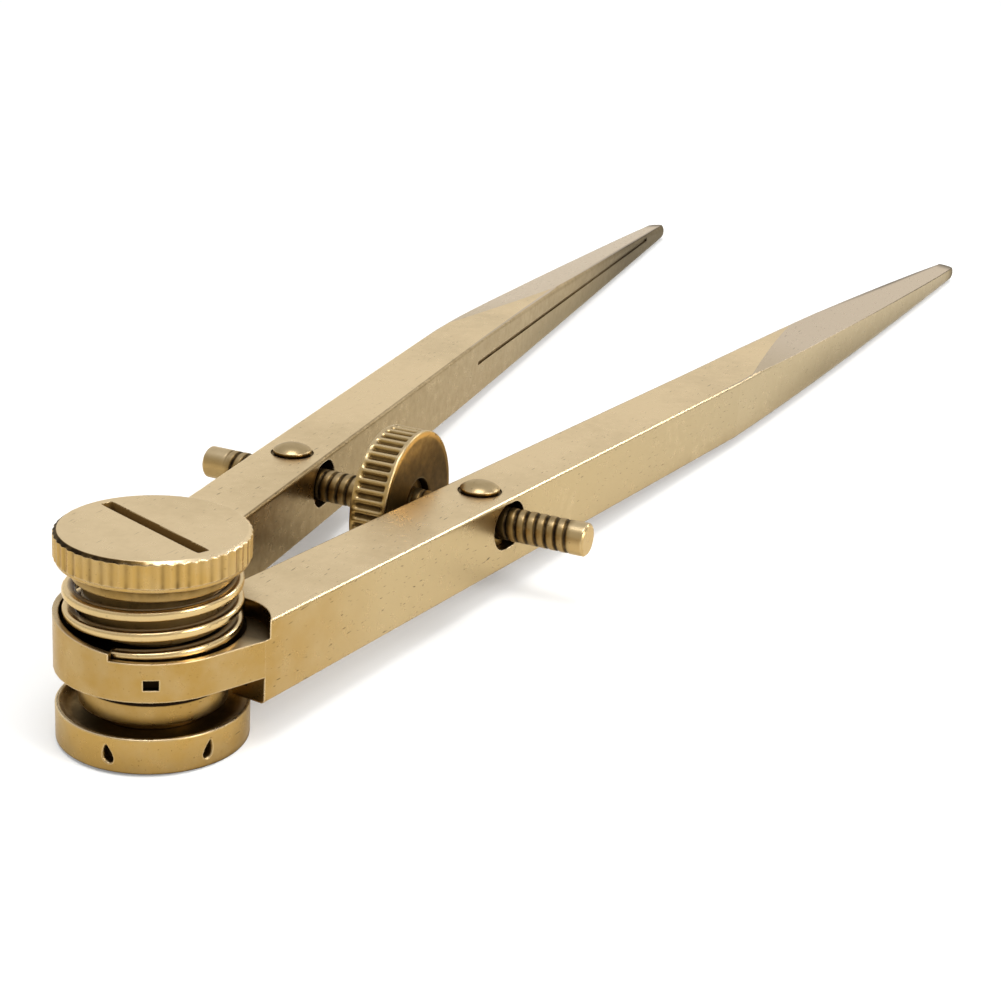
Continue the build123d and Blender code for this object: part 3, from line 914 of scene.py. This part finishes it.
class BrassNodes:
    # One material's nodes, with short names for the kinds that every layer of the brass uses
    def __init__(self, name):
        self.material = bpy.data.materials.new(name)
        self.material.use_nodes = True
        self.tree = self.material.node_tree
        self.tree.nodes.clear()
        self.link = self.tree.links.new
        self.coords = self.add("ShaderNodeTexCoord")

    def add(self, kind, **values):
        node = self.tree.nodes.new(kind)
        for key, value in values.items():
            setattr(node, key, value)
        return node

    def feed(self, socket, value):
        if isinstance(value, bpy.types.NodeSocket):
            self.link(value, socket)
        elif isinstance(value, tuple):
            socket.default_value = (*value, 1)
        else:
            socket.default_value = value

    def placed(self, size, turn=(0, 0, 0)):
        place = self.add("ShaderNodeMapping")
        place.inputs["Scale"].default_value = [1 / length for length in size]
        place.inputs["Rotation"].default_value = turn
        self.link(self.coords.outputs["Object"], place.inputs["Vector"])
        return place.outputs[0]

    def noise(self, size, detail, rough=0.5, turn=(0, 0, 0)):
        texture = self.add("ShaderNodeTexNoise")
        texture.inputs["Scale"].default_value = 1.0
        texture.inputs["Detail"].default_value = detail
        texture.inputs["Roughness"].default_value = rough
        size = size if isinstance(size, tuple) else (size,) * 3
        self.link(self.placed(size, turn), texture.inputs["Vector"])
        return texture.outputs["Fac"]

    def band(self, value, low, high, to=(0.0, 1.0)):
        node = self.add("ShaderNodeMapRange")
        node.inputs["From Min"].default_value = low
        node.inputs["From Max"].default_value = high
        node.inputs["To Min"].default_value = to[0]
        node.inputs["To Max"].default_value = to[1]
        self.link(value, node.inputs["Value"])
        return node.outputs["Result"]

    def mixColour(self, factor, a, b):
        node = self.add("ShaderNodeMix", data_type="RGBA")
        self.feed(node.inputs["Factor"], factor)
        self.feed(node.inputs["A"], a)
        self.feed(node.inputs["B"], b)
        return node.outputs["Result"]

    def maths(self, kind, a, b):
        node = self.add("ShaderNodeMath", operation=kind)
        self.feed(node.inputs[0], a)
        self.feed(node.inputs[1], b)
        return node.outputs[0]

    def times(self, first, *others):
        for other in others:
            first = self.maths("MULTIPLY", first, other)
        return first

    def most(self, a, b):
        return self.maths("MAXIMUM", a, b)

    def occlusion(self, reach, shade, share):
        node = self.add("ShaderNodeAmbientOcclusion", samples=8)
        node.inputs["Distance"].default_value = reach
        return self.band(node.outputs["AO"], *shade, share)

    def parts(self, vector):
        node = self.add("ShaderNodeSeparateXYZ")
        self.link(vector, node.inputs[0])
        return node.outputs

    def readPatterns(self, s):
        self.patches = self.noise(s["patchSize"], 3)
        self.mottle = self.noise(s["mottleSize"], 6, 0.6)
        self.smudge = self.noise(s["smudgeSize"], 4)
        self.fine = self.noise(s["mottleSize"] / 5, 4, 0.6)
        self.painted = self.add("ShaderNodeAttribute", attribute_name="grimeAndShade").outputs["Fac"]

    def readPlaces(self, s):
        # Where a point lies, how far it is from the pivot's axis and which way its face looks
        axis = self.add("ShaderNodeVectorMath", operation="MULTIPLY")
        axis.inputs[1].default_value = (1, 1, 0)
        self.link(self.coords.outputs["Object"], axis.inputs[0])
        away = self.add("ShaderNodeVectorMath", operation="LENGTH")
        self.link(axis.outputs[0], away.inputs[0])
        self.away = away.outputs["Value"]
        self.place = self.parts(self.coords.outputs["Object"])
        self.facing = self.parts(self.coords.outputs["Normal"])
        # Side faces, which get the painted shade of the side tones
        self.onSide = self.band(self.facing["Z"], *s["sideFacing"])

    def readEdges(self, s):
        # The rounded normal, and how nearly it agrees with the face's own
        edge = self.add("ShaderNodeBevel", samples=6)
        edge.inputs["Radius"].default_value = s["edgeReach"]
        shape = self.add("ShaderNodeNewGeometry")
        rounding = self.add("ShaderNodeVectorMath", operation="DOT_PRODUCT")
        self.link(edge.outputs[0], rounding.inputs[0])
        self.link(shape.outputs["Normal"], rounding.inputs[1])
        self.edge = edge.outputs[0]
        self.rounding = rounding.outputs["Value"]


def litAndShadedTone(k, s):
    # Painted light and shade: the upper faces paler and the sides darker and warmer, warmest near the pivot
    # where the parts reflect each other; warmer patches at random
    nearHead = k.band(k.away, *s["headReach"], (1.0, 0.0))
    warmth = [s["warmth"] + more for more in s["patchWarmth"]]
    warm = k.band(k.patches, *s["warmPatches"], warmth)
    warm = k.maths("ADD", warm, k.band(k.mottle, *s["warmMottle"], s["mottleWarmth"]))
    sideShadeTone = k.mixColour(k.band(k.away, *s["farReach"]), s["sideShadeTone"], s["farSideShadeTone"])
    tone = k.mixColour(k.maths("ADD", k.onSide, warm), s["paleTone"], sideShadeTone)
    golden = k.times(k.onSide, nearHead, k.band(k.smudge, *s["smudges"], s["smudgeShare"]))
    return k.mixColour(golden, tone, s["headSideShadeTone"])


def shadeAndSoilHollows(k, s, tone):
    # Painted shade from occlusion: in close corners and grooves nearly black, in wide hollows a deep
    # brown, together with the painted grimeAndShade values; a negative value shelters a face from both
    k.shut = k.occlusion(s["closeReach"], s["closeShade"], s["shadeShare"])
    openTo = k.band(k.painted, -1.0, 0.0)
    close = k.times(k.shut, openTo)
    wide = k.times(k.occlusion(s["wideReach"], s["wideShade"], s["shadeShare"]), openTo)
    blotch = k.band(k.mottle, *s["blotches"], s["blotchSoil"])
    leg = s["leg"]
    if leg:
        # Painted shade and reflection: between the legs the inner faces are brown near the pivot, and paler
        # further out
        inner = k.band(k.times(k.place["Y"], k.facing["Y"]), *leg["inward"])
        inner = k.times(inner, k.band(k.place["X"], *s["innerReach"], s["innerShade"]))
        wide = k.most(k.times(wide, k.band(k.away, *leg["drum"], leg["drumShare"])), inner)
        # Less painted shade in close corners towards the points
        close = k.times(close, k.band(k.place["X"], *leg["shadeFade"], leg["shadeFadeShare"]))
    tone = k.mixColour(k.times(wide, blotch), tone, s["deepTone"])
    soilAndShade = k.most(k.times(close, blotch), k.times(k.painted, blotch))
    return k.mixColour(k.band(soilAndShade, 0.0, 0.5), tone, s["deepTone"]), soilAndShade


def scratchMarks(k, s):
    # Short thin scratches in two directions, and small round pits, all stronger in some places
    dash = (s["dashLength"], s["dashWidth"], s["dashWidth"])
    first = k.band(k.noise(dash, 1, 0.5, s["firstTurn"]), *s["firstDashes"])
    second = k.band(k.noise(dash, 1, 0.5, s["secondTurn"]), *s["secondDashes"])
    holes = k.add("ShaderNodeTexVoronoi", feature="F1")
    holes.inputs["Scale"].default_value = 1.0
    k.link(k.placed((s["pitSize"],) * 3), holes.inputs["Vector"])
    pit = k.band(holes.outputs["Distance"], *s["pits"], s["pitShare"])
    marked = k.band(k.patches, *s["markPatches"], s["markShare"])
    return k.times(k.most(k.most(first, second), pit), marked)


def tonePoints(k, leg, tone):
    # The points are greyish above and brown low on their sides
    along = k.place["X"]
    tilt = k.facing["Z"]
    onFacet = k.times(k.band(tilt, *leg["facetTilt"]), k.band(tilt, *leg["facetTilted"]))
    onFacet = k.times(onFacet, k.band(along, *leg["facetFrom"]))
    facetTone = k.mixColour(k.band(along, *leg["facetStart"]), leg["startTone"], leg["facetTone"])
    tone = k.mixColour(onFacet, tone, facetTone)
    low = k.band(k.place["Z"], *leg["underHeight"], leg["underShare"])
    below = k.times(k.band(along, *leg["under"]), low, k.onSide)
    return k.mixColour(below, tone, leg["underTone"])


def shadePointEdges(k, leg, soilAndShade):
    # Painted dark reflection: the points are dark at their ends and along their edges
    along = k.place["X"]
    # How far a point lies from the top's edge between the legs: its distance from the middle less the
    # edge's own
    inset = k.maths("ABSOLUTE", k.place["Y"], 0.0)
    inset = k.maths("SUBTRACT", inset, k.times(along, leg["farEdgeSlope"]))
    inset = k.maths("SUBTRACT", inset, leg["farEdgeStart"])
    farEdge = k.band(inset, *leg["farEdge"], leg["farEdgeShade"])
    outline = k.most(k.band(k.rounding, *leg["tipEdge"]), farEdge)
    soilAndShade = k.most(soilAndShade, k.band(along, *leg["endCap"], leg["endCapShade"]))
    return k.most(soilAndShade, k.times(k.band(along, *leg["tips"]), outline))


def shadeEyes(k, leg, soilAndShade):
    # Painted shade: black inside the eyes and on the floor of the step beside the spring
    high = k.place["Z"]
    inside = k.times(k.band(k.away, *leg["insideRadius"]), k.band(high, *leg["insideLow"]))
    inside = k.times(inside, k.band(high, *leg["insideHigh"]))
    step = k.times(k.band(high, *leg["stepFloor"]), k.band(high, *leg["stepFloorTop"]))
    step = k.times(step, k.band(k.place["X"], *leg["stepFloorFrom"]))
    step = k.times(step, k.band(k.facing["Z"], *leg["stepFloorTilt"], leg["stepFloorShade"]))
    step = k.times(step, k.band(k.away, *leg["stepFloorTo"]))
    return k.most(k.most(soilAndShade, step), inside)


def makeBrass(name, s):
    k = BrassNodes(name)
    k.readPatterns(s)
    k.readPlaces(s)
    k.readEdges(s)
    tone, soilAndShade = shadeAndSoilHollows(k, s, litAndShadedTone(k, s))
    worn = k.band(k.rounding, *s["wornEdge"], s["wornShare"])
    worn = k.times(worn, k.band(k.shut, *s["wornAway"], (1.0, 0.0)))
    tone = k.mixColour(worn, tone, s["paleTone"])
    if s["leg"]:
        tone = tonePoints(k, s["leg"], tone)
        soilAndShade = shadeEyes(k, s["leg"], shadePointEdges(k, s["leg"], soilAndShade))
    # Black patina where the painted shade and soil are strong and in the scratches, then packed dirt and
    # painted shade in a dirt colour, which is no metal
    black = k.most(k.band(soilAndShade, *s["blackened"]), k.times(scratchMarks(k, s), s["markStrength"]))
    tone = k.mixColour(black, tone, s["patina"])
    packedDirtAndShade = k.band(k.painted, *s["packedDirtAndShade"])
    crusted = k.times(k.shut, k.band(k.mottle, *s["crustMottle"], s["crustShare"]))
    tone = k.mixColour(packedDirtAndShade, tone, k.mixColour(crusted, s["dirtAndShadeTone"], s["patina"]))
    rough = k.band(k.mottle, *s["roughMottle"], s["roughness"])
    rough = k.maths("ADD", rough, k.times(soilAndShade, s["soilRoughness"]))
    bump = k.add("ShaderNodeBump")
    bump.inputs["Strength"].default_value = s["bump"]
    bump.inputs["Distance"].default_value = s["bumpHeight"]
    k.link(k.maths("ADD", k.mottle, k.times(k.fine, s["fineShare"])), bump.inputs["Height"])
    k.link(k.edge, bump.inputs["Normal"])
    metal = k.add("ShaderNodeBsdfPrincipled")
    metal.inputs["Specular Tint"].default_value = (*s["grazingTint"], 1)
    metal.inputs["Specular IOR Level"].default_value = s["dirtShine"]
    k.link(tone, metal.inputs["Base Color"])
    k.link(k.maths("SUBTRACT", 1.0, packedDirtAndShade), metal.inputs["Metallic"])
    k.link(rough, metal.inputs["Roughness"])
    k.link(bump.outputs[0], metal.inputs["Normal"])
    out = k.add("ShaderNodeOutputMaterial")
    k.link(metal.outputs[0], out.inputs["Surface"])
    return k.material


brasses = {}
for finish, changes in finishes.items():
    brasses[finish] = makeBrass(finish, {**agedBrass, **changes})
finishOf = {
    "adjustingWheel": "handled_brass",
    "leftSwivelPost": "handled_brass",
    "rightSwivelPost": "handled_brass",
    "left_leg": "leg_brass",
    "right_leg": "leg_brass",
    "wheel_pin": "screw_brass",
    "lower_washer": "washer_brass",
    "friction_washer": "washer_brass",
    "wheel_washer": "washer_brass",
}
for obj in list(bpy.data.objects):
    if obj.type != "MESH" or obj.name == "floor":
        continue
    finish = finishOf.get(obj.name) or obj.get("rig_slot") or "turned_brass"
    if not obj.material_slots:
        obj.data.materials.append(brasses[finish])
    for place in obj.material_slots:
        place.material = brasses[finish]
print("brass on every piece")
